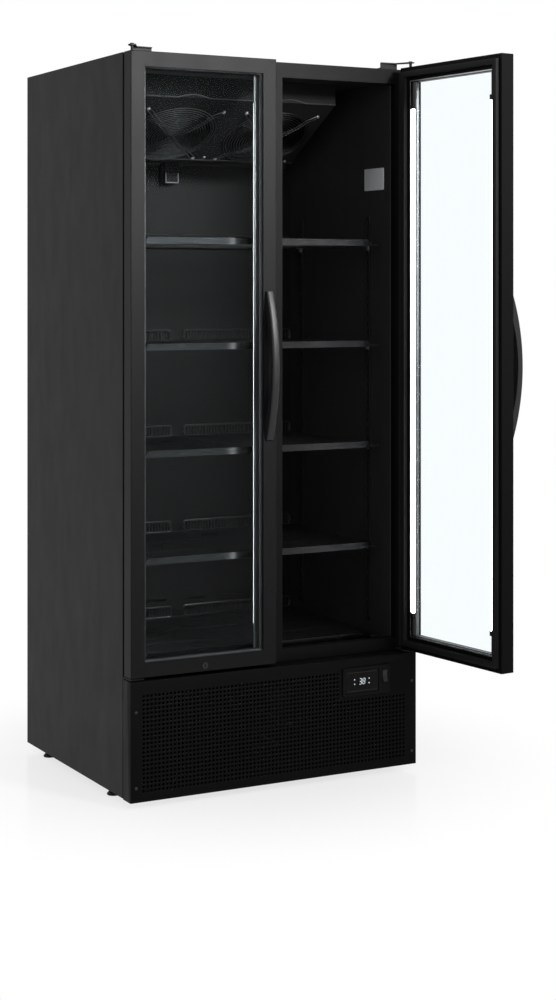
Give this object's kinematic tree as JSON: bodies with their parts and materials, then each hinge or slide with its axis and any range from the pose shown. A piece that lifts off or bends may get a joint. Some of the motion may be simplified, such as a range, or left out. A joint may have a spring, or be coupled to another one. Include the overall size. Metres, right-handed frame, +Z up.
{
  "type": "glass door merchandiser",
  "caption": "Upright black refrigerated merchandiser with hinged glass doors, wire shelves, ceiling evaporator, lit door edges and a perforated lower front with a digital controller.",
  "frame": {"origin": "on the floor, midway between the four levelling feet", "axes": "+X to the right seen from the front, +Y from the doors to the back, +Z up"},
  "size_m": [0.9716, 1.1591, 2.003],
  "materials": {
    "black_sheet": "satin black powder coat",
    "black_profile": "satin black anodised",
    "black_plastic": "fine grain black",
    "grey_duct": "matt dark grey",
    "dark_liner": "matt black",
    "foam": "rigid foam, hidden",
    "black_wire": "black plastic-coated wire",
    "black_metal": "satin black",
    "coil_fins": "bare thin fins",
    "fan_blade": "dark grey",
    "motor": "gloss black",
    "copper": "drawn copper tube",
    "display": "gloss black",
    "zinc": "zinc-plated",
    "glass": "clear double glazing",
    "spacer": "mill finish",
    "bead": "dark profile with bright lip",
    "gasket": "soft black magnetic gasket",
    "light": "white diffuser"
  },
  "bodies": {
    "cabinet": {"side_panel_left": "black_sheet", "side_panel_right": "black_sheet", "top_panel": "black_sheet", "back_panel": "black_sheet", "front_frame": "black_sheet", "breaker_strips": "black_plastic", "inner_liner": "dark_liner", "insulation_foam": "foam", "rear_duct_panel": "grey_duct", "pilasters": "black_metal", "shelf_1": "black_wire", "shelf_2": "black_wire", "shelf_3": "black_wire", "shelf_4": "black_wire", "floor_rack": "black_wire", "price_rails": "black_metal", "shelf_clips": "black_metal", "evaporator_cover": "dark_liner", "fan_guards": "black_wire", "evaporator_coil": "coil_fins", "fan_motors": "motor", "drain_cup": "black_plastic", "base_chassis": "black_sheet", "condenser_coil": "coil_fins", "condenser_shroud": "black_sheet", "compressor": "motor", "condensate_tray": "black_plastic", "refrigerant_pipes": "copper", "cord_gland": "black_plastic", "grille_panel": "black_sheet", "controller_housing": "black_plastic", "controller_display": "display", "upper_hinge_brackets": "black_metal", "lower_hinge_brackets": "black_metal", "cabinet_screws": "zinc"},
    "door_left": {"door_frame_left": "black_profile", "door_glass_left": "glass", "glass_spacer_left": "spacer", "glass_bead_left": "bead", "door_gasket_left": "gasket", "door_lights_left": "light", "door_handle_left": "black_plastic"},
    "door_right": {"door_frame_right": "black_profile", "door_glass_right": "glass", "glass_spacer_right": "spacer", "glass_bead_right": "bead", "door_gasket_right": "gasket", "door_lights_right": "light", "door_handle_right": "black_plastic"},
    "lock_left": {"door_lock_left": "zinc"},
    "lock_right": {"door_lock_right": "zinc"},
    "evaporator_fan_left": {"evaporator_fan_left": "fan_blade"},
    "evaporator_fan_right": {"evaporator_fan_right": "fan_blade"},
    "condenser_fan": {"condenser_fan": "fan_blade"},
    "power_rocker": {"power_rocker": "black_plastic"},
    "foot_front_left": {"foot_front_left": "zinc"},
    "foot_front_right": {"foot_front_right": "zinc"},
    "foot_rear_left": {"foot_rear_left": "zinc"},
    "foot_rear_right": {"foot_rear_right": "zinc"}
  },
  "joints": [
    {"name": "door_left_hinge", "type": "hinge", "parent": "cabinet", "child": "door_left", "pos_m": [-0.4305, -0.388, 1.163], "axis": [0, 0, 1], "range_deg": [-110, 0]},
    {"name": "door_right_hinge", "type": "hinge", "parent": "cabinet", "child": "door_right", "pos_m": [0.4305, -0.388, 1.163], "axis": [0, 0, 1], "range_deg": [-95.9, 14.1]},
    {"name": "lock_left_turn", "type": "hinge", "parent": "door_left", "child": "lock_left", "pos_m": [-0.2249, -0.386, 0.3586], "axis": [0, -1, 0], "range_deg": [0, 90]},
    {"name": "lock_right_turn", "type": "hinge", "parent": "door_right", "child": "lock_right", "pos_m": [0.44965, -0.59272, 0.3586], "axis": [-0.9947, -0.1028, 0], "range_deg": [0, 90]},
    {"name": "evaporator_fan_left_spin", "type": "hinge", "parent": "cabinet", "child": "evaporator_fan_left", "pos_m": [-0.153, -0.03701, 1.80225], "axis": [0, -0.5, -0.866], "continuous": true},
    {"name": "evaporator_fan_right_spin", "type": "hinge", "parent": "cabinet", "child": "evaporator_fan_right", "pos_m": [0.153, -0.03701, 1.80225], "axis": [0, -0.5, -0.866], "continuous": true},
    {"name": "condenser_fan_spin", "type": "hinge", "parent": "cabinet", "child": "condenser_fan", "pos_m": [-0.205, -0.241, 0.1468], "axis": [0, -1, 0], "continuous": true},
    {"name": "power_rocker_tilt", "type": "hinge", "parent": "cabinet", "child": "power_rocker", "pos_m": [0.335, -0.397, 0.276], "axis": [1, 0, 0], "range_deg": [0, 14]},
    {"name": "foot_front_left_turn", "type": "hinge", "parent": "cabinet", "child": "foot_front_left", "pos_m": [-0.415, -0.232, 0.02], "axis": [0, 0, 1], "continuous": true},
    {"name": "foot_front_right_turn", "type": "hinge", "parent": "cabinet", "child": "foot_front_right", "pos_m": [0.415, -0.232, 0.02], "axis": [0, 0, 1], "continuous": true},
    {"name": "foot_rear_left_turn", "type": "hinge", "parent": "cabinet", "child": "foot_rear_left", "pos_m": [-0.415, 0.232, 0.02], "axis": [0, 0, 1], "continuous": true},
    {"name": "foot_rear_right_turn", "type": "hinge", "parent": "cabinet", "child": "foot_rear_right", "pos_m": [0.415, 0.232, 0.02], "axis": [0, 0, 1], "continuous": true}
  ]
}
